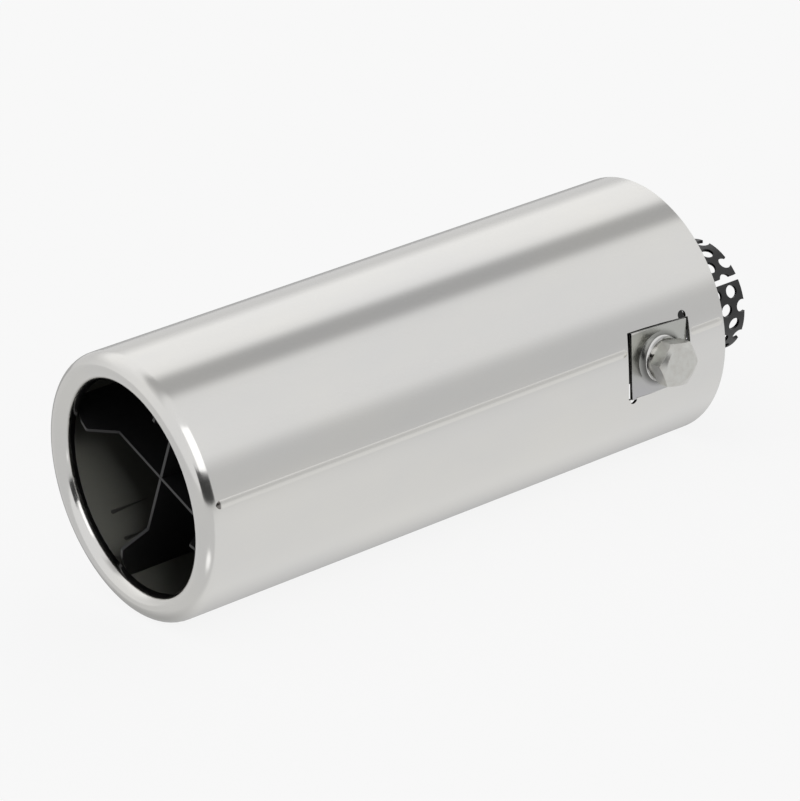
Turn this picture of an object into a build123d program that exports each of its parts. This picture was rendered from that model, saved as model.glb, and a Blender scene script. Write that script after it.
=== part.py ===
from build123d import *
import math
import os

# Exhaust tip for a car tailpipe, in millimetres.
# Y is the axis of the collar: the pipe enters from +Y and the gas leaves at the mouth, towards -Y.
# +X points at the clamp bolt and +Z is up. The origin is the centre of the collar's open end.
# The sleeve's axis runs beside the collar's, further from the bolt.

# Outer sleeve
sleeve_radius = 40.0
sleeve_wall = 1.0
sleeve_length = 190.0
mouth_radius = 31.8
lip_inner_share = 0.45122
lip_return = 1.1
rear_edge_round = 0.3

# Tab cut from the sleeve on three sides, where the bolt sits
window_ahead = 12.5
window_behind = 10.65
window_half_height = 10.4
window_arch = 0.25
window_front_bow = 0.9
window_skew = 3.5
front_relief_radius = 1.2
front_relief_back = 2.1
front_relief_down = 0.5
rear_relief_radius = 1.5
rear_relief_forward = 2.1
rear_relief_up = 0.75
tab_front_gap = 1.5
tab_rear_gap = 0.5
tab_free_edge_gap = 0.5
tab_root = 0.4
boss_radius = 6.4
boss_height = 2.0
boss_flare = 1.8
boss_flare_radius = 2.7

# Clamp bolt, with its spring washer and weld nut
bolt_from_sleeve_end = 24.5
thread_radius = 4.0
thread_gap = 0.1
head_across_flats = 13.0
head_height = 5.3
head_turn = -10.0
head_face_radius = 5.3
head_chamfer = 1.1
tip_chamfer = 0.8
tip_gap = 0.1
washer_outer_radius = 5.5
washer_inner_radius = 4.15
washer_thickness = 2.0
washer_split = 0.9
washer_split_slant = 20.0
washer_split_angle = 150.0
nut_across_flats = 13.0
nut_height = 6.5
nut_chamfer = 0.6

# Collar rolled from perforated sheet, with an open seam, that slides over the tailpipe
collar_offset = 9.9
collar_bore_radius = 16.5
collar_wall = 1.0
collar_reach = 19.0
seam_gap = 1.75
seam_angle = 32.4
hole_radius = 2.0
hole_pitch = 6.0
hole_row_pitch = 5.15
hole_rows = 21
holes_per_row = 6
hole_edge_offset = 0.9
hole_row_angle = 20.3
hole_row_drift = 0.025

# Pressed ring that carries the collar in the sleeve, off centre
ring_sheet = 1.0
ring_depth = 10.0
ring_bend = 1.6
ring_gap = 0.1
ring_to_window = 1.3

# Two crossed plates behind the mouth
plate_thickness = 1.0
plate_length = 50.0
plate_setback = 12.5
plate_gap = 0.1
plate_a_angle = -24.1
plate_b_angle = 62.4
ear_root_radius = 21.1
ear_tip_radius = 26.0
ear_tip_depth = 4.4
ear_shoulder_radius = 30.0
ear_shoulder_depth = 5.2
ear_wall_depth = 9.3
ear_tip_round = 0.9
lap_gap = 0.1

# Places worked out from the sizes above
sleeve_bore = sleeve_radius - sleeve_wall
mouth_y = -(sleeve_length + collar_reach)
sleeve_end_y = -collar_reach
lip_width = sleeve_radius - mouth_radius
lip_inner_round = lip_inner_share * lip_width
lip_round = lip_width - lip_inner_round
lip_depth = lip_inner_round + lip_return
bolt_y = sleeve_end_y - bolt_from_sleeve_end
tab_face_x = math.sqrt(sleeve_radius ** 2 - window_half_height ** 2)
tab_back_x = tab_face_x - sleeve_wall
boss_top_x = tab_face_x + boss_height
head_seat_x = boss_top_x + washer_thickness
collar_radius = collar_bore_radius + collar_wall
hole_row_step = math.degrees(hole_row_pitch / (collar_bore_radius + collar_wall / 2))
thread_hole_radius = thread_radius + thread_gap
far_out = 2 * sleeve_radius
ring_rear_y = bolt_y - window_ahead - ring_to_window
ring_front_y = ring_rear_y - ring_depth


def depth(distance):
    """Place on the Y axis, given as a distance behind the mouth."""
    return mouth_y + distance


def turned(shape, angle):
    """The shape turned about the Y axis, from +X towards +Z."""
    return Rot(0, -angle, 0) * shape


def on_sleeve_axis(shape):
    """The shape moved from the Y axis, about which it is drawn, to the sleeve's own axis."""
    return Pos(-collar_offset, 0, 0) * shape


def bolt_plane(x):
    """Plane across the bolt's axis at the given distance from the sleeve's axis."""
    return Plane(origin=(x, bolt_y, 0), x_dir=(0, 1, 0), z_dir=(1, 0, 0))


def bolt_section():
    """Plane through the bolt's axis: the first coordinate is the radius, the second runs along X."""
    return Plane(origin=(0, bolt_y, 0), x_dir=(0, 1, 0), z_dir=(0, 0, -1))


def bolt_axis():
    """The bolt's axis."""
    return Axis((0, bolt_y, 0), (1, 0, 0))


def bolt_turning(points):
    """Solid turned about the bolt's axis from (radius, distance from the sleeve's axis) points."""
    return revolve(bolt_section() * make_face(Polyline(*points, close=True)), bolt_axis())


def sleeve_shell():
    """Tube with a plain cut rear end and a lip rolled inwards at the mouth."""
    straight_y = depth(lip_round)
    return_y = depth(lip_inner_round)
    bend_radius = sleeve_radius - lip_round
    flange_outer = mouth_radius + sleeve_wall
    with BuildPart() as shell:
        with BuildSketch(Plane.XY):
            with BuildLine():
                Polyline(
                    (sleeve_bore, straight_y),
                    (sleeve_bore, sleeve_end_y),
                    (sleeve_radius, sleeve_end_y),
                    (sleeve_radius, straight_y),
                )
                CenterArc((bend_radius, straight_y), lip_round, 0, -90)
                CenterArc((bend_radius, return_y), lip_inner_round, -90, -90)
                Polyline(
                    (mouth_radius, return_y),
                    (mouth_radius, depth(lip_depth)),
                    (flange_outer, depth(lip_depth)),
                    (flange_outer, return_y),
                )
                CenterArc((bend_radius, return_y), lip_inner_round - sleeve_wall, 180, 90)
                CenterArc((bend_radius, straight_y), lip_round - sleeve_wall, -90, 90)
            make_face()
        revolve(axis=Axis.Y)
        rear_edges = shell.edges().group_by(Axis.Y)[-1]
        fillet(rear_edges, rear_edge_round)
    return shell.part


def window_plane(x):
    """Plane of the window, turned a little about the bolt's axis: front edge up, rear edge down."""
    skew = math.radians(window_skew)
    along = (0, math.cos(skew), -math.sin(skew))
    return Plane(origin=(x, bolt_y, 0), x_dir=along, z_dir=(1, 0, 0))


def window_cutter():
    """Opening with a bowed front edge, an arched top edge and two relief holes."""
    front_bottom = (-window_ahead, -window_half_height)
    rear_bottom = (window_behind, -window_half_height)
    rear_top = (window_behind, window_half_height)
    front_top = (-window_ahead, window_half_height)
    crown = ((window_behind - window_ahead) / 2, window_half_height + window_arch)
    outline = Polyline(front_bottom, rear_bottom, rear_top)
    outline += ThreePointArc(rear_top, crown, front_top)
    outline += ThreePointArc(front_top, (-window_ahead - window_front_bow, 0), front_bottom)
    opening = make_face(outline)
    front_relief = (front_relief_back - window_ahead, -window_half_height - front_relief_down)
    rear_relief = (window_behind - rear_relief_forward, window_half_height + rear_relief_up)
    opening += Pos(*front_relief) * Circle(front_relief_radius)
    opening += Pos(*rear_relief) * Circle(rear_relief_radius)
    return extrude(window_plane(0) * opening, far_out)


def sleeve_tab():
    """Flat tab that the three-sided cut leaves, with a swaged boss round the bolt hole."""
    front = tab_front_gap - window_ahead
    rear = window_behind - tab_rear_gap
    top = window_half_height - tab_free_edge_gap
    root = -(window_half_height + tab_root)
    outline = Polyline((front, root), (rear, root), (rear, top), (front, top), close=True)
    flat = extrude(window_plane(tab_back_x) * make_face(outline), sleeve_wall)
    flare = boss_radius + boss_flare
    section = Polyline((0, tab_back_x), (flare, tab_back_x), (flare, tab_face_x))
    section += RadiusArc((flare, tab_face_x), (boss_radius, boss_top_x), boss_flare_radius)
    section += Polyline((boss_radius, boss_top_x), (0, boss_top_x), (0, tab_back_x))
    boss = revolve(bolt_section() * make_face(section), bolt_axis())
    hole = extrude(bolt_plane(tab_back_x - sleeve_wall) * Circle(thread_hole_radius), far_out)
    return flat + boss - hole


def outer_sleeve():
    """Polished sleeve, tab included: one formed sheet."""
    return sleeve_shell() - window_cutter() + sleeve_tab()


def clamp_bolt():
    """Hexagon bolt whose tip bears on the collar."""
    corner_radius = head_across_flats / math.sqrt(3)
    head_top = head_seat_x + head_height
    tip_x = collar_offset + collar_radius + tip_gap
    hexagon = RegularPolygon(corner_radius, 6, rotation=head_turn)
    head = extrude(bolt_plane(head_seat_x) * hexagon, head_height)
    rounding = bolt_turning([
        (0, head_seat_x),
        (corner_radius, head_seat_x),
        (corner_radius, head_top - head_chamfer),
        (head_face_radius, head_top),
        (0, head_top),
    ])
    shank = bolt_turning([
        (0, tip_x),
        (thread_radius - tip_chamfer, tip_x),
        (thread_radius, tip_x + tip_chamfer),
        (thread_radius, head_seat_x),
        (0, head_seat_x),
    ])
    return (head & rounding) + shank


def spring_washer():
    """Split ring between the boss and the bolt's head."""
    ring = Circle(washer_outer_radius) - Circle(washer_inner_radius)
    washer = extrude(bolt_plane(boss_top_x) * ring, washer_thickness)
    middle = (washer_outer_radius + washer_inner_radius) / 2
    slot = Rot(washer_split_slant, 0, 0) * Box(washer_outer_radius, washer_split, 3 * washer_thickness)
    slot = Rot(0, 0, washer_split_angle) * (Pos(middle, 0, 0) * slot)
    return washer - bolt_plane(boss_top_x + washer_thickness / 2).location * slot


def weld_nut():
    """Hexagon nut welded to the back of the tab."""
    corner_radius = nut_across_flats / math.sqrt(3)
    foot_x = tab_back_x - nut_height
    nut = extrude(bolt_plane(foot_x) * RegularPolygon(corner_radius, 6), nut_height)
    rounding = bolt_turning([
        (thread_hole_radius, foot_x),
        (corner_radius - 2 * nut_chamfer, foot_x),
        (corner_radius, foot_x + nut_chamfer),
        (corner_radius, tab_back_x),
        (thread_hole_radius, tab_back_x),
    ])
    return nut & rounding


def perforated_collar():
    """Rolled collar of perforated sheet whose ends don't meet, so that it can close on the tailpipe."""
    tube = Circle(collar_radius) - Circle(collar_bore_radius)
    collar = extrude(Plane.XZ * tube, -ring_front_y, dir=(0, -1, 0))
    drill = Rot(0, 90, 0) * Cylinder(hole_radius, 4 * collar_wall)
    last_row = hole_rows - 1
    cutters = []
    for row in range(hole_rows):
        angle = hole_row_angle - row * hole_row_step
        stagger = 0 if row % 2 else hole_pitch / 2
        for column in range(holes_per_row):
            y = -(hole_edge_offset + row * hole_row_drift + stagger + column * hole_pitch)
            cutter = turned(Pos(collar_radius, y, 0) * drill, angle)
            cutters.append(cutter & past_the_seam() if row == last_row else cutter)
    seam = Box(4 * collar_wall, 4 * sleeve_length, seam_gap)
    cutters.append(turned(Pos(collar_radius, 0, 0) * seam, seam_angle))
    return collar - cutters


def past_the_seam():
    """Block on the far side of the seam's middle, where the seam cuts the last row of holes."""
    block = Box(collar_radius, 2 * sleeve_length, collar_radius, align=(Align.CENTER, Align.CENTER, Align.MIN))
    return turned(Pos(collar_radius, 0, 0) * block, seam_angle)


def support_ring():
    """Ring pressed from sheet: a rim on the sleeve, a web, and a neck round the collar."""
    web_front_y = ring_rear_y - ring_sheet
    rim_radius = sleeve_bore - ring_gap
    neck_bore = collar_radius + ring_gap
    at_neck = Pos(collar_offset, 0, 0)
    rim = Plane.XZ.offset(-ring_rear_y) * Circle(rim_radius)
    pocket = Plane.XZ.offset(-web_front_y) * Circle(rim_radius - ring_sheet)
    neck = at_neck * (Plane.XZ.offset(-ring_rear_y) * Circle(neck_bore + ring_sheet))
    bore = at_neck * (Plane.XZ.offset(-ring_rear_y) * Circle(neck_bore))
    ring = extrude(rim, ring_depth) - extrude(pocket, ring_depth)
    ring = ring + extrude(neck, ring_depth) - extrude(bore, ring_depth)
    edges = ring.edges().filter_by(GeomType.CIRCLE).group_by(Axis.Y)
    ring = fillet(edges[-1], ring_bend)
    edges = ring.edges().filter_by(lambda edge: abs(edge.center().Y - web_front_y) < ring_gap)
    return fillet(edges, ring_bend - ring_sheet)


def cross_plate(angle, slot_from_front):
    """Flat plate across the bore, with an ear on each side and a slot for the other plate."""
    front_y = depth(plate_setback)
    rear_y = front_y + plate_length
    side = [
        (ear_root_radius, front_y),
        (ear_tip_radius, depth(ear_tip_depth)),
        (ear_shoulder_radius, depth(ear_shoulder_depth)),
        (sleeve_radius, depth(ear_wall_depth)),
        (sleeve_radius, rear_y),
    ]
    mirrored = [(-x, y) for x, y in reversed(side)]
    blank = make_face(Polyline(*side, *mirrored, close=True))
    tips = [corner for corner in blank.vertices() if abs(corner.Y - depth(ear_tip_depth)) < 0.01]
    blank = fillet(tips, ear_tip_round)
    plate = extrude(blank, plate_thickness / 2, both=True)
    slot_end = front_y if slot_from_front else rear_y
    slot_depth = plate_length + 2 * lap_gap
    slot_width = lap_slot_width()
    plate -= Pos(0, slot_end, 0) * Box(slot_width, slot_depth, 2 * plate_thickness)
    bore = Rot(90, 0, 0) * Cylinder(sleeve_bore - plate_gap, 4 * sleeve_length)
    return turned(plate & bore, angle)


def lap_slot_width():
    """Width of the slot that takes the other plate where the two cross at their angle."""
    crossing = math.radians(plate_b_angle - plate_a_angle)
    return plate_thickness / math.sin(crossing) + plate_thickness / math.tan(crossing) + 2 * lap_gap


pieces = {
    "outer_sleeve": on_sleeve_axis(outer_sleeve()),
    "clamp_bolt": on_sleeve_axis(clamp_bolt()),
    "spring_washer": on_sleeve_axis(spring_washer()),
    "weld_nut": on_sleeve_axis(weld_nut()),
    "perforated_collar": perforated_collar(),
    "support_ring": on_sleeve_axis(support_ring()),
    "cross_plate_upper_lap": on_sleeve_axis(cross_plate(plate_a_angle, False)),
    "cross_plate_lower_lap": on_sleeve_axis(cross_plate(plate_b_angle, True)),
}

os.makedirs("parts", exist_ok=True)
for name, piece in pieces.items():
    export_step(piece, f"parts/{name}.step")
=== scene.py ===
import math

import bpy
from mathutils import Matrix, Vector


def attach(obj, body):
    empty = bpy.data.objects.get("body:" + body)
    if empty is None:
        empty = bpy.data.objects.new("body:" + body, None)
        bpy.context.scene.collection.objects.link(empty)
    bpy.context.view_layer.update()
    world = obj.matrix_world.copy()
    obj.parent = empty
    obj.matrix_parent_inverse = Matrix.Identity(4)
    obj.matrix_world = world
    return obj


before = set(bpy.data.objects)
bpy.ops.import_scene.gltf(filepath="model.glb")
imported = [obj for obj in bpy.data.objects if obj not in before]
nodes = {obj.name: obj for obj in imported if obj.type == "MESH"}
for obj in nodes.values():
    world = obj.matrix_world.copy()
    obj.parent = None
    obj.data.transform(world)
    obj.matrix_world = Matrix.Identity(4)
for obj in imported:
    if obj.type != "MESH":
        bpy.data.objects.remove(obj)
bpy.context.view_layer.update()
MM = 0.001


# Outer sleeve
# The polished sleeve: one stainless sheet rolled to a tube and seam welded, its lip rolled inwards.
# The outside is buffed to a soft mirror, and the inside is painted satin black up to the rolled lip.

AXIS_X = -9.9 * MM
SLEEVE_RADIUS = 40 * MM
MOUTH_Y = -209 * MM
SLEEVE_REAR_Y = -19 * MM
LIP_ROUND = 4.5 * MM
LIP_INNER_ROUND = 3.7 * MM
PAINT_WHOLE = 0.6 * MM
PAINT_GONE = 0.4 * MM
TAB_FACE = 38.3 * MM
TAB_FACE_EDGE = 0.1 * MM
TAB_HALF = 11.3 * MM
TAB_EDGE = 0.2 * MM
TAB_Y = -43.5 * MM
TAB_RADIUS_END = (39.9 * MM, 39.95 * MM)
BOSS_RADIUS = 6.4 * MM
BOSS_FOOT_RADIUS = 9.2 * MM
BOSS_START = 0.5 * MM
CUT_RADIUS_START = (39.05 * MM, 39.15 * MM)
CUT_RADIUS_END = (39.85 * MM, 39.93 * MM)
CUT_Y_START = (-70 * MM, -69 * MM)
CUT_Y_END = (-25 * MM, -24 * MM)
STAINLESS = (0.715, 0.705, 0.678, 1)
STAINLESS_COOL = (0.68, 0.675, 0.665, 1)
TAB_STEEL = (0.475, 0.47, 0.49, 1)
TAB_STEEL_GREENISH = (0.45, 0.455, 0.43, 1)
# Painted shade and painted dark reflection for the boss's flank, not the steel's own colour.
BOSS_PAINTED_SHADE = (0.10, 0.10, 0.095, 1)
# Painted shade for the cut edges in the window's gap.
CUT_PAINTED_SHADE = (0.14, 0.135, 0.125, 1)
INSIDE_BLACK = (0.045, 0.045, 0.039, 1)


class Wire:
    """A socket of a finish, so that what varies over a surface is written as a plain expression."""

    def __init__(self, finish, socket):
        self.finish = finish
        self.socket = socket

    def maths(self, operation, *terms):
        return self.finish.node("ShaderNodeMath", {"operation": operation}, dict(enumerate(terms)))

    def __add__(self, other):
        return self.maths("ADD", self, other)

    def __radd__(self, other):
        return self.maths("ADD", other, self)

    def __sub__(self, other):
        return self.maths("SUBTRACT", self, other)

    def __rsub__(self, other):
        return self.maths("SUBTRACT", other, self)

    def __mul__(self, other):
        return self.maths("MULTIPLY", self, other)

    def __rmul__(self, other):
        return self.maths("MULTIPLY", other, self)

    def __truediv__(self, other):
        return self.maths("DIVIDE", self, other)

    def __rtruediv__(self, other):
        return self.maths("DIVIDE", other, self)

    def __pow__(self, other):
        return self.maths("POWER", self, other)

    def __abs__(self):
        return self.maths("ABSOLUTE", self)

    def at_least(self, other):
        return self.maths("MAXIMUM", self, other)

    def at_most(self, other):
        return self.maths("MINIMUM", self, other)

    def rises(self, low, high):
        """0 below low and 1 above high, with a smooth step between them."""
        values = {"Value": self, "From Min": low, "From Max": high}
        return self.finish.node("ShaderNodeMapRange", {"interpolation_type": "SMOOTHSTEP"}, values)


class Finish:
    """The node tree of a material or of the world, with one method that adds any node."""

    def __init__(self, owner):
        self.owner = owner
        owner.use_nodes = True
        self.tree = owner.node_tree
        self.tree.nodes.clear()

    def node(self, kind, settings=None, values=None, output=0):
        made = self.tree.nodes.new(kind)
        for key, value in (settings or {}).items():
            setattr(made, key, value)
        for key, value in (values or {}).items():
            if isinstance(value, Wire):
                self.tree.links.new(value.socket, made.inputs[key])
            else:
                made.inputs[key].default_value = value
        return Wire(self, made.outputs[output] if made.outputs else None)

    def axes(self):
        """Object coordinates in metres: from the sleeve's axis across, along the tube, and up."""
        coordinates = self.node("ShaderNodeTexCoord", output="Object")
        parts = [self.node("ShaderNodeSeparateXYZ", {}, {0: coordinates}, output=name) for name in "XYZ"]
        return parts[0] - AXIS_X, parts[1], parts[2]

    def noise(self, scale, stretch=(1, 1, 1), detail=3, roughness=0.5):
        coordinates = self.node("ShaderNodeTexCoord", output="Object")
        place = self.node("ShaderNodeMapping", {}, {"Vector": coordinates, "Scale": stretch})
        values = {"Vector": place, "Scale": scale, "Detail": detail, "Roughness": roughness}
        return self.node("ShaderNodeTexNoise", {}, values)

    def blend(self, factor, first, second):
        """A colour between first and second."""
        values = {0: factor, 6: first, 7: second}
        return self.node("ShaderNodeMix", {"data_type": "RGBA"}, values, output=2)

    def relief(self, height, strength, distance):
        values = {"Height": height, "Strength": strength, "Distance": distance}
        return self.node("ShaderNodeBump", {}, values)

    def surface(self, **values):
        sockets = {name.replace("_", " "): value for name, value in values.items()}
        shader = self.node("ShaderNodeBsdfPrincipled", {}, sockets)
        self.node("ShaderNodeOutputMaterial", {}, {"Surface": shader})
        return self.owner


def dress(node, material):
    """A carried-over CAD node keeps its shape and gets a finish."""
    nodes[node].data.materials.clear()
    nodes[node].data.materials.append(material)


polished = Finish(bpy.data.materials.new("polished_stainless_sleeve"))
x, y, z = polished.axes()
radius = (x * x + z * z) ** 0.5

# The sheet's outer face is bare, also round the lip, and its inner face is painted.
depth = y - MOUTH_Y
crest = SLEEVE_RADIUS - LIP_ROUND
outward = (radius - crest).at_least(0)
inward = (crest - radius).at_least(0)
on_outer_round = (outward ** 2 + (LIP_ROUND - depth).at_least(0) ** 2) ** 0.5
on_inner_round = (inward ** 2 + (LIP_INNER_ROUND - depth).at_least(0) ** 2) ** 0.5
bare = on_outer_round.rises(LIP_ROUND - PAINT_WHOLE, LIP_ROUND - PAINT_GONE)
bare = bare.at_least(on_inner_round.rises(LIP_INNER_ROUND - PAINT_WHOLE, LIP_INNER_ROUND - PAINT_GONE))

# The tab's face is duller than the tube, and round the boss its colour is darkened: painted shade and
# painted dark reflection on the boss's flank.
on_tab = x.rises(TAB_FACE, TAB_FACE + TAB_FACE_EDGE) * (1 - abs(z).rises(TAB_HALF, TAB_HALF + TAB_EDGE))
on_tab = on_tab * (1 - abs(y - TAB_Y).rises(TAB_HALF, TAB_HALF + TAB_EDGE))
on_tab = on_tab * (1 - radius.rises(*TAB_RADIUS_END))
from_bolt = ((y - TAB_Y) ** 2 + z * z) ** 0.5
boss_painted_shade_mask = x.rises(TAB_FACE - BOSS_START, TAB_FACE) * (1 - from_bolt.rises(BOSS_RADIUS, BOSS_FOOT_RADIUS))
painted = (1 - bare) * (1 - on_tab)

# The edges of the window's cut, within the sheet's thickness, are coloured dark: painted shade of the
# narrow gap.
cut_painted_shade_mask = radius.rises(*CUT_RADIUS_START) * (1 - radius.rises(*CUT_RADIUS_END))
cut_painted_shade_mask = cut_painted_shade_mask * y.rises(*CUT_Y_START) * (1 - y.rises(*CUT_Y_END)) * (1 - on_tab)

smudges = polished.noise(22, (1, 0.45, 1), 4, 0.6)
grain = polished.noise(900, (1, 0.02, 1), 3, 0.6)
metal = polished.blend(smudges.rises(0.3, 0.7), STAINLESS, STAINLESS_COOL)
tab_metal = polished.blend(smudges.rises(0.35, 0.65), TAB_STEEL, TAB_STEEL_GREENISH)
metal = polished.blend(on_tab, metal, polished.blend(boss_painted_shade_mask, tab_metal, BOSS_PAINTED_SHADE))
metal = polished.blend(cut_painted_shade_mask, metal, CUT_PAINTED_SHADE)
polished_stainless = polished.surface(
    Base_Color=polished.blend(painted * (1 - cut_painted_shade_mask), metal, INSIDE_BLACK),
    Metallic=1 - painted * (1 - cut_painted_shade_mask),
    Roughness=0.13 + 0.04 * smudges + 0.33 * painted + 0.08 * on_tab,
    Normal=polished.relief(grain, 0.05, 0.02 * MM),
)
dress("outer_sleeve", polished_stainless)


# Weld seam
# The bead that closes the rolled sheet along the sleeve, buffed almost flat. It runs from the rolled
# lip to the window, and behind the window to the rear edge, and is darker in colour at its front end.

SEAM_ANGLE = 8.3
SEAM_ANGLE_BEHIND = 7.1
SEAM_HEIGHT = 0.2 * MM
SEAM_CROWN_RADIUS = 3.3 * MM
SEAM_CROWN_SIDES = 180
SEAM_ROOT = 0.3 * MM
SEAM_START_Y = MOUTH_Y + 5.4 * MM
SEAM_END_RAMP = 1.2 * MM
SEAM_END_SUNK = 0.05 * MM
SEAM_SMOOTH_ANGLE = 40
END_FACING = 0.9
WINDOW_FRONT_Y = -56.4 * MM
WINDOW_REAR_Y = -32.4 * MM
REAR_EDGE_LEFT_FREE = 0.6 * MM
# The bead's front end is coloured darker over this length.
BEAD_FRONT_DARK_LENGTH = (0.1 * MM, 0.7 * MM)
BEAD_FRONT_DARK = (0.2, 0.19, 0.18, 1)

bead_finish = Finish(bpy.data.materials.new("buffed_weld_bead"))
x, y, z = bead_finish.axes()
ripple = bead_finish.noise(300, (1, 0.6, 1), 3, 0.6)
darker_front = 1 - (y - SEAM_START_Y).rises(*BEAD_FRONT_DARK_LENGTH)
buffed_bead = bead_finish.surface(
    Base_Color=bead_finish.blend(darker_front, STAINLESS, BEAD_FRONT_DARK),
    Metallic=1.0,
    Roughness=0.16 + 0.08 * ripple,
    Normal=bead_finish.relief(ripple, 0.15, 0.03 * MM),
)


def bead(name, angle, front, rear):
    """A long low bead: a slice off a rod's side, with ends that ramp down into the sheet."""
    crown = SLEEVE_RADIUS + SEAM_HEIGHT
    bpy.ops.object.select_all(action="DESELECT")
    bpy.ops.mesh.primitive_cylinder_add(
        vertices=SEAM_CROWN_SIDES,
        radius=SEAM_CROWN_RADIUS,
        depth=rear - front,
        location=(crown - SEAM_CROWN_RADIUS, (front + rear) / 2, 0),
        rotation=(math.radians(90), 0, 0),
    )
    made = bpy.context.object
    made.name = name
    bpy.ops.object.transform_apply(location=True, rotation=True, scale=True)
    bpy.ops.object.mode_set(mode="EDIT")
    bpy.ops.mesh.select_all(action="SELECT")
    root = (crown - SEAM_HEIGHT - SEAM_ROOT, 0, 0)
    bpy.ops.mesh.bisect(plane_co=root, plane_no=(1, 0, 0), use_fill=True, clear_inner=True)
    for end, outwards in ((front, -1), (rear, 1)):
        bpy.ops.mesh.select_all(action="SELECT")
        bpy.ops.mesh.bisect(plane_co=(0, end - outwards * SEAM_END_RAMP, 0), plane_no=(0, 1, 0))
        bpy.ops.mesh.select_all(action="DESELECT")
        bpy.ops.object.mode_set(mode="OBJECT")
        for face in made.data.polygons:
            face.select = face.normal.y * outwards > END_FACING
        bpy.ops.object.mode_set(mode="EDIT")
        bpy.ops.mesh.select_mode(type="FACE")
        ramp = Vector((-SEAM_HEIGHT - SEAM_END_SUNK, outwards * SEAM_END_RAMP, 0))
        bpy.ops.mesh.extrude_region_move(TRANSFORM_OT_translate={"value": ramp})
    bpy.ops.object.mode_set(mode="OBJECT")
    made.data.transform(Matrix.Translation((AXIS_X, 0, 0)) @ Matrix.Rotation(-math.radians(angle), 4, "Y"))
    bpy.ops.object.shade_smooth_by_angle(angle=math.radians(SEAM_SMOOTH_ANGLE))
    made.data.materials.append(buffed_bead)
    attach(made, "root")


seam_rear_end = SLEEVE_REAR_Y - REAR_EDGE_LEFT_FREE - SEAM_END_RAMP
bead("weld_seam_front", SEAM_ANGLE, SEAM_START_Y, WINDOW_FRONT_Y - SEAM_END_RAMP)
bead("weld_seam_rear", SEAM_ANGLE_BEHIND, WINDOW_REAR_Y + SEAM_END_RAMP, seam_rear_end)


# Paint runs
# Two drops of the black paint that ran forward on the far wall inside the mouth and dried there,
# each with the thin trail that it left behind it.

RUN_WALL_RADIUS = 39 * MM
RUN_DROP_RADIUS = 0.62 * MM
RUN_DROP_DEPTH = 15.6 * MM
RUN_DROP_SHAPE = (0.3, 1.1, 1)
RUN_TRAIL_SHARES = (0.25, 0.75)
RUN_TRAIL_TAPER = (0.8, 1, 0.4)
RUN_SMOOTH_ANGLE = 60
WET_BLACK = (0.012, 0.012, 0.011, 1)

dried = Finish(bpy.data.materials.new("dried_paint_run"))
skin = dried.noise(500, (1, 1, 1), 2, 0.5)
dried_paint = dried.surface(
    Base_Color=WET_BLACK,
    Metallic=0.0,
    Roughness=0.3 + 0.1 * skin,
    Normal=dried.relief(skin, 0.1, 0.02 * MM),
)


def paint_run(name, angle, trail, drift):
    """A drop of dried paint on the wall, drawn out to a trail that leans by drift."""
    bpy.ops.object.select_all(action="DESELECT")
    bpy.ops.mesh.primitive_uv_sphere_add(segments=24, ring_count=16, radius=RUN_DROP_RADIUS)
    made = bpy.context.object
    made.name = name
    made.data.transform(Matrix.Rotation(math.radians(-90), 4, "X"))
    bpy.ops.object.mode_set(mode="EDIT")
    bpy.ops.mesh.select_mode(type="VERT")
    bpy.ops.mesh.select_all(action="SELECT")
    bpy.ops.transform.resize(value=RUN_DROP_SHAPE)
    for share in RUN_TRAIL_SHARES:
        bpy.ops.mesh.select_all(action="DESELECT")
        bpy.ops.object.mode_set(mode="OBJECT")
        for vertex in made.data.vertices:
            vertex.select = vertex.co.y > share * RUN_DROP_RADIUS
        bpy.ops.object.mode_set(mode="EDIT")
        bpy.ops.transform.resize(value=RUN_TRAIL_TAPER, center_override=(0, 0, 0))
        bpy.ops.transform.translate(value=(0, trail * share, drift * share))
    bpy.ops.object.mode_set(mode="OBJECT")
    on_wall = Matrix.Translation((RUN_WALL_RADIUS, MOUTH_Y + RUN_DROP_DEPTH, 0))
    lay = Matrix.Rotation(-math.radians(angle), 4, "Y") @ on_wall
    made.data.transform(Matrix.Translation((AXIS_X, 0, 0)) @ lay)
    bpy.ops.object.shade_smooth_by_angle(angle=math.radians(RUN_SMOOTH_ANGLE))
    made.data.materials.append(dried_paint)
    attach(made, "root")


paint_run("paint_run_upper", 213.0, 12 * MM, -0.4 * MM)
paint_run("paint_run_lower", 225.8, 5 * MM, -0.3 * MM)


# Clamp bolt, spring washer and weld nut
# An M8 hexagon bolt with a split washer under its head, screwed through a nut welded behind the tab.
# All three are bright zinc-plated steel.

ZINC = (0.60, 0.60, 0.575, 1)
ZINC_DULL = (0.54, 0.53, 0.50, 1)

plated = Finish(bpy.data.materials.new("bright_zinc_plate"))
mottle = plated.noise(420, (1, 1, 1), 4, 0.6)
zinc_plate = plated.surface(
    Base_Color=plated.blend(mottle.rises(0.35, 0.75), ZINC, ZINC_DULL),
    Metallic=1.0,
    Roughness=0.24 + 0.12 * mottle,
    Normal=plated.relief(mottle, 0.12, 0.03 * MM),
)
for name in ("clamp_bolt", "spring_washer", "weld_nut"):
    dress(name, zinc_plate)


# Perforated collar, support ring and cross plates
# Thin steel sheet, painted satin black: the collar that grips the tailpipe, the ring that carries
# it, and the two plates that are lapped to a cross in front of it.

SATIN_BLACK = (0.012, 0.012, 0.013, 1)

dipped = Finish(bpy.data.materials.new("satin_black_paint"))
flow = dipped.noise(260, (1, 1, 1), 3, 0.5)
black_paint = dipped.surface(
    Base_Color=SATIN_BLACK,
    Metallic=0.0,
    Roughness=0.34 + 0.1 * flow,
    Normal=dipped.relief(flow, 0.2, 0.05 * MM),
)
for name in ("perforated_collar", "support_ring", "cross_plate_upper_lap", "cross_plate_lower_lap"):
    dress(name, black_paint)


# Studio
# A pale floor under the tip, a white surround, and wide soft panels that only the metal mirrors, the
# flags and the shade darker than the rest. A small lamp lights the sleeve and the paint runs alone.

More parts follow.
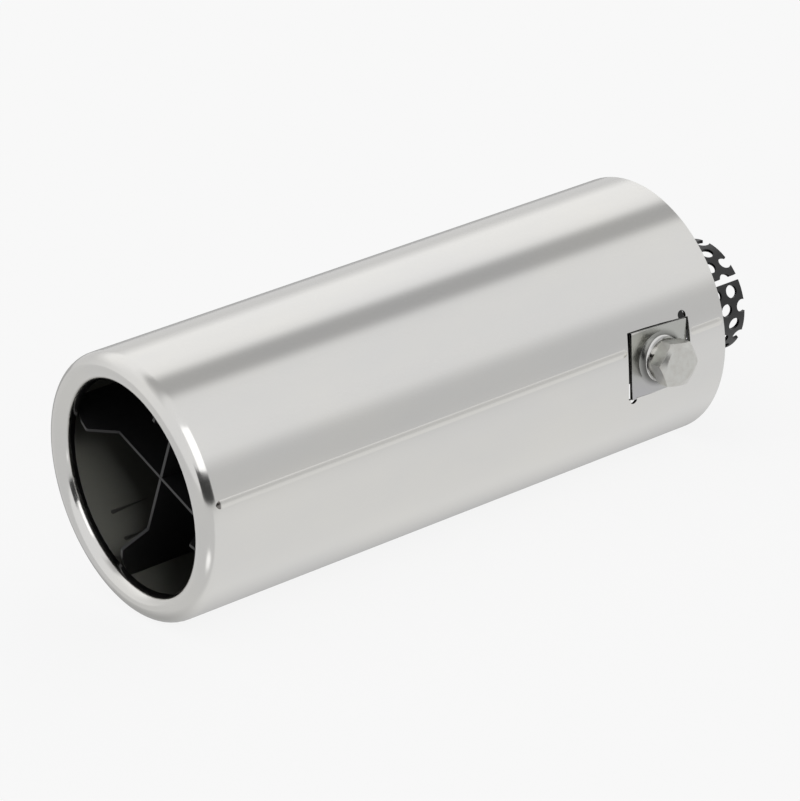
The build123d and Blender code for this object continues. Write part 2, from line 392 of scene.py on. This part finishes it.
FLOOR_SIZE = 8.0
FLOOR_GREY = (0.86, 0.86, 0.86, 1)
FLOOR_GLOW = 1.013
FLOOR_GLOW_SHARE = 0.85
FLOOR_MIRRORED = 0.45
FLOOR_MIRRORED_RISE = 0.43
FLOOR_RISE_ACROSS = (6 * MM, 35 * MM)
FLOOR_MIRRORED_FALL = 0.18
FLOOR_FALL_ACROSS = (0.1, 0.4)
FLOOR_MIRRORED_IN_FRONT = 0.72
FLOOR_FRONT_EDGE = (MOUTH_Y - 9 * MM, MOUTH_Y + 1 * MM)
# A painted bright spot in the floor's glow, seen only in the metal.
SHEEN = 0.6
SHEEN_PLACE = (53 * MM, -234 * MM)
SHEEN_RADII = (4 * MM, 16 * MM)
PALE = (0.939, 0.939, 0.939, 1)
FILL = (0.6, 0.6, 0.6, 1)

bpy.ops.object.select_all(action="DESELECT")
bpy.ops.mesh.primitive_plane_add(size=FLOOR_SIZE, location=(0, 0, -SLEEVE_RADIUS))
bpy.ops.object.transform_apply(location=True, rotation=True, scale=True)
floor = bpy.context.object
floor.name = "studio_floor"
pale = Finish(bpy.data.materials.new("pale_floor"))
across, along, _ = pale.axes()

# What the metal mirrors of the floor is a painted reflection: its glow changes from place to place and has
# a painted bright spot, while the camera sees the floor even.
mirrored = FLOOR_MIRRORED + FLOOR_MIRRORED_RISE * across.rises(*FLOOR_RISE_ACROSS)
mirrored = mirrored - FLOOR_MIRRORED_FALL * across.rises(*FLOOR_FALL_ACROSS)
from_sheen = ((across - SHEEN_PLACE[0]) ** 2 + (along - SHEEN_PLACE[1]) ** 2) ** 0.5
behind = along.rises(*FLOOR_FRONT_EDGE)
mirrored = FLOOR_MIRRORED_IN_FRONT * (1 - behind) + mirrored * behind
mirrored = mirrored + SHEEN * (1 - from_sheen.rises(*SHEEN_RADII))
seen_directly = pale.node("ShaderNodeLightPath", output="Is Camera Ray")
seen_in_metal = pale.node("ShaderNodeLightPath", output="Is Glossy Ray")
seen_in_metal = seen_in_metal + pale.node("ShaderNodeLightPath", output="Is Transmission Ray")
seen_in_metal = seen_in_metal.at_most(1)
level = seen_directly * FLOOR_GLOW + seen_in_metal * mirrored
matte = pale.node("ShaderNodeBsdfDiffuse", {}, {"Color": FLOOR_GREY})
grey = pale.node("ShaderNodeCombineColor", {}, {"Red": level, "Green": level, "Blue": level})
glow = pale.node("ShaderNodeEmission", {}, {"Color": grey, "Strength": 1.0})
share = FLOOR_GLOW_SHARE * seen_directly + seen_in_metal
both = pale.node("ShaderNodeMixShader", {}, {0: share, 1: matte, 2: glow})
pale.node("ShaderNodeOutputMaterial", {}, {"Surface": both})
floor.data.materials.append(pale.owner)

surround = Finish(bpy.data.worlds.new("pale_surround"))
bpy.context.scene.world = surround.owner
seen = surround.node("ShaderNodeLightPath", output="Is Camera Ray")
seen = seen.at_least(surround.node("ShaderNodeLightPath", output="Is Glossy Ray"))
colour = surround.blend(seen, FILL, PALE)
background = surround.node("ShaderNodeBackground", {}, {"Color": colour})
surround.node("ShaderNodeOutputWorld", {}, {0: background})


def panel(name, centre, across, along, width, length, edge, brightness):
    """A flat panel that only the metal mirrors, soft from edge (a share of its half width) outwards."""
    facing = across.cross(along)
    turn = Matrix((across, along, facing)).transposed().to_4x4()
    bpy.ops.object.select_all(action="DESELECT")
    bpy.ops.mesh.primitive_plane_add(size=1)
    made = bpy.context.object
    made.name = name
    made.data.transform(Matrix.Translation(centre) @ turn @ Matrix.Diagonal((width, length, 1, 1)))
    look = Finish(bpy.data.materials.new(name))
    minus = {"operation": "SUBTRACT"}
    dot = {"operation": "DOT_PRODUCT"}
    spot = look.node("ShaderNodeTexCoord", output="Object")
    spot = look.node("ShaderNodeVectorMath", minus, {0: spot, 1: centre}, output="Vector")
    shown = 1
    for way, size in ((across, width), (along, length)):
        place = look.node("ShaderNodeVectorMath", dot, {0: spot, 1: way}, output="Value")
        shown = shown * (1 - (abs(place) / (size / 2)).rises(edge, 1))
    clear = look.node("ShaderNodeBsdfTransparent")
    glow = look.node("ShaderNodeEmission", {}, {"Strength": brightness})
    both = look.node("ShaderNodeMixShader", {}, {0: shown, 1: clear, 2: glow})
    look.node("ShaderNodeOutputMaterial", {}, {"Surface": both})
    made.data.materials.append(look.owner)
    made.visible_camera = False
    made.visible_diffuse = False
    made.visible_shadow = False


CARD_LENGTH = 3.0
CARD_MIDDLE_Y = 0.3
CARD_EDGE = 0.3


def card(name, low, high, brightness, distance):
    """A long panel beside the tube, between two angles from +X towards +Z."""
    angle = math.radians((low + high) / 2)
    width = 2 * distance * math.tan(math.radians(high - low) / 2)
    towards = Vector((math.cos(angle), 0, math.sin(angle)))
    along = Vector((0, 1, 0))
    centre = towards * distance + Vector((AXIS_X, CARD_MIDDLE_Y, 0))
    panel(name, centre, along.cross(towards), along, width, CARD_LENGTH, CARD_EDGE, brightness)


def strip(name, azimuths, elevations, edge, brightness, distance):
    """A panel seen from the mouth between two azimuths from +X and two elevations."""
    azimuth = math.radians(sum(azimuths) / 2)
    elevation = math.radians(sum(elevations) / 2)
    width = 2 * distance * math.tan(math.radians(azimuths[1] - azimuths[0]) / 2)
    length = 2 * distance * math.tan(math.radians(elevations[1] - elevations[0]) / 2)
    across = Vector((-math.sin(azimuth), math.cos(azimuth), 0))
    level = Vector((math.cos(azimuth), math.sin(azimuth), 0))
    towards = level * math.cos(elevation) + Vector((0, 0, math.sin(elevation)))
    up = towards.cross(across)
    centre = Vector((AXIS_X, MOUTH_Y + LIP_ROUND, 0)) + towards * distance
    panel(name, centre, across, up, width, length, edge, brightness)


card("card_behind", 100, 176, 1.10, 1.0)
card("flag_behind", 146, 204, 0.74, 0.92)
card("flag_overhead", 80, 113, 0.50, 0.95)
card("card_right", 26, 86, 0.95, 1.05)
card("flag_horizon", -18, 32, 0.68, 1.1)
strip("strip_light", (-26, 22), (19, 58), 0.9, 1.6, 0.75)
strip("strip_shade", (-48, 20), (-5, 20), 0.94, 0.05, 0.44)

MOUTH_LAMP_WAY = Vector((0.8135, -0.24, 0.528))
MOUTH_LAMP_DISTANCE = 0.75
MOUTH_LAMP_SIZE = (0.16, 0.45)
MOUTH_LAMP_SPREAD = 30
MOUTH_LAMP_WATTS = 0.35

mouth_lamp = bpy.data.lights.new("mouth_lamp", "AREA")
mouth_lamp.shape = "RECTANGLE"
mouth_lamp.size = MOUTH_LAMP_SIZE[0]
mouth_lamp.size_y = MOUTH_LAMP_SIZE[1]
mouth_lamp.spread = math.radians(MOUTH_LAMP_SPREAD)
mouth_lamp.energy = MOUTH_LAMP_WATTS
lamp = bpy.data.objects.new("mouth_lamp", mouth_lamp)
bpy.context.scene.collection.objects.link(lamp)
towards = MOUTH_LAMP_WAY.normalized()
across = Vector((0, 1, 0)) - towards * towards.y
across.normalize()
turn = Matrix((across, towards.cross(across), towards)).transposed().to_4x4()
lamp.matrix_world = Matrix.Translation(Vector((AXIS_X, MOUTH_Y, 0)) + towards * MOUTH_LAMP_DISTANCE) @ turn
lamp.visible_glossy = False
lit = bpy.data.collections.new("lit_inside_the_mouth")
lit.objects.link(nodes["outer_sleeve"])
for name in ("paint_run_upper", "paint_run_lower"):
    lit.objects.link(bpy.data.objects[name])
lamp.light_linking.receiver_collection = lit


# Camera
# A long lens from beside the mouth and a little above, turned slightly about its own axis.

CAMERA_PLACE = Vector((904.38, -770.85, 455.69)) * MM
CAMERA_AZIMUTH = 54.193
CAMERA_ELEVATION = 22.144
CAMERA_ROLL = -4.977
LENS = 186.5
SENSOR_WIDTH = 36

camera_data = bpy.data.cameras.new("camera")
camera_data.lens = LENS
camera_data.sensor_width = SENSOR_WIDTH
camera = bpy.data.objects.new("camera", camera_data)
bpy.context.scene.collection.objects.link(camera)
camera.matrix_world = (
    Matrix.Translation(CAMERA_PLACE)
    @ Matrix.Rotation(math.radians(CAMERA_AZIMUTH), 4, "Z")
    @ Matrix.Rotation(math.radians(90 - CAMERA_ELEVATION), 4, "X")
    @ Matrix.Rotation(math.radians(CAMERA_ROLL), 4, "Z")
)
bpy.context.scene.camera = camera
bpy.context.scene.view_settings.view_transform = "Standard"
